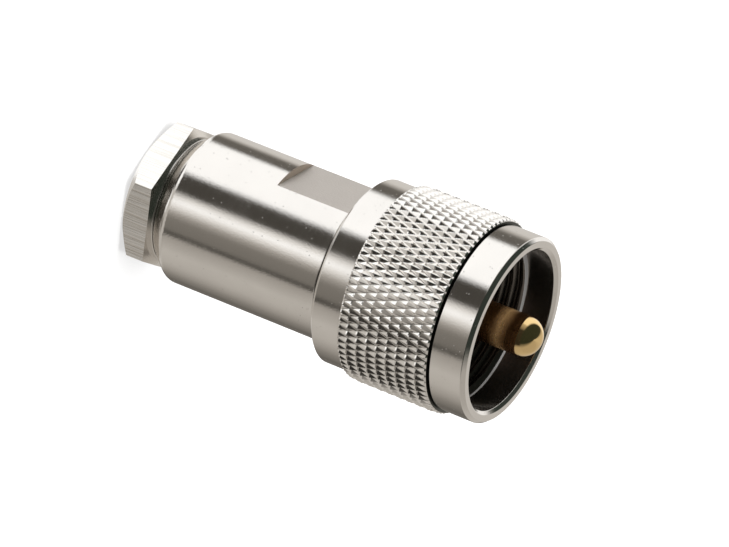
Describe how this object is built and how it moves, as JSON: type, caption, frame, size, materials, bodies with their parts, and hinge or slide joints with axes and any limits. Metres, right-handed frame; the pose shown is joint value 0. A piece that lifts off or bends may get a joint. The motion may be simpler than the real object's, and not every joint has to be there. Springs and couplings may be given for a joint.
{
  "type": "antenna connector",
  "caption": "Straight coaxial cable plug with a screw-on knurled coupling nut, a domed centre pin and a hexagonal clamp nut for the cable.",
  "frame": {"origin": "centre of the clamp nut's rear face, on which the plug stands", "axes": "+Z along the plug's axis from the cable end to the pin; the body's two wrench flats face +Y and -Y"},
  "size_m": [0.0196, 0.0196, 0.0424],
  "materials": {
    "body_nickel": "turned, nickel plated",
    "nut_nickel": "knurled, nickel plated",
    "clamp_nickel": "milled, nickel plated",
    "washer_nickel": "nickel plated",
    "spring_bronze": "rolled spring wire",
    "plain_brass": "turned",
    "contact_gold": "gold plated, polished",
    "gasket_rubber": "moulded",
    "insulator": "machined"
  },
  "bodies": {
    "plug": {"body": "body_nickel", "centre_contact": "contact_gold", "front_insulator": "insulator", "rear_insulator": "insulator", "braid_clamp": "plain_brass", "gasket": "gasket_rubber"},
    "ring": {"retaining_ring": "spring_bronze"},
    "coupling": {"coupling_nut": "nut_nickel"},
    "washer": {"slip_washer": "washer_nickel"},
    "clamp": {"clamp_nut": "clamp_nickel"}
  },
  "joints": [
    {"name": "coupling_float", "type": "slide", "parent": "plug", "child": "ring", "axis": [0, 0, 1], "range_m": [0, 0.0024]},
    {"name": "coupling_spin", "type": "hinge", "parent": "ring", "child": "coupling", "pos_m": [0, 0, 0.0312], "axis": [0, 0, 1], "continuous": true},
    {"name": "clamp_back_out", "type": "slide", "parent": "plug", "child": "washer", "axis": [0, 0, -1], "range_m": [0, 0.0045]},
    {"name": "clamp_turn", "type": "hinge", "parent": "washer", "child": "clamp", "pos_m": [0, 0, 0.0045], "axis": [0, 0, -1], "range_deg": [0, 2160]}
  ],
  "couplings": [
    {"joint": "clamp_back_out", "follows": "clamp_turn", "m_per_rad": 0.00011936}
  ]
}
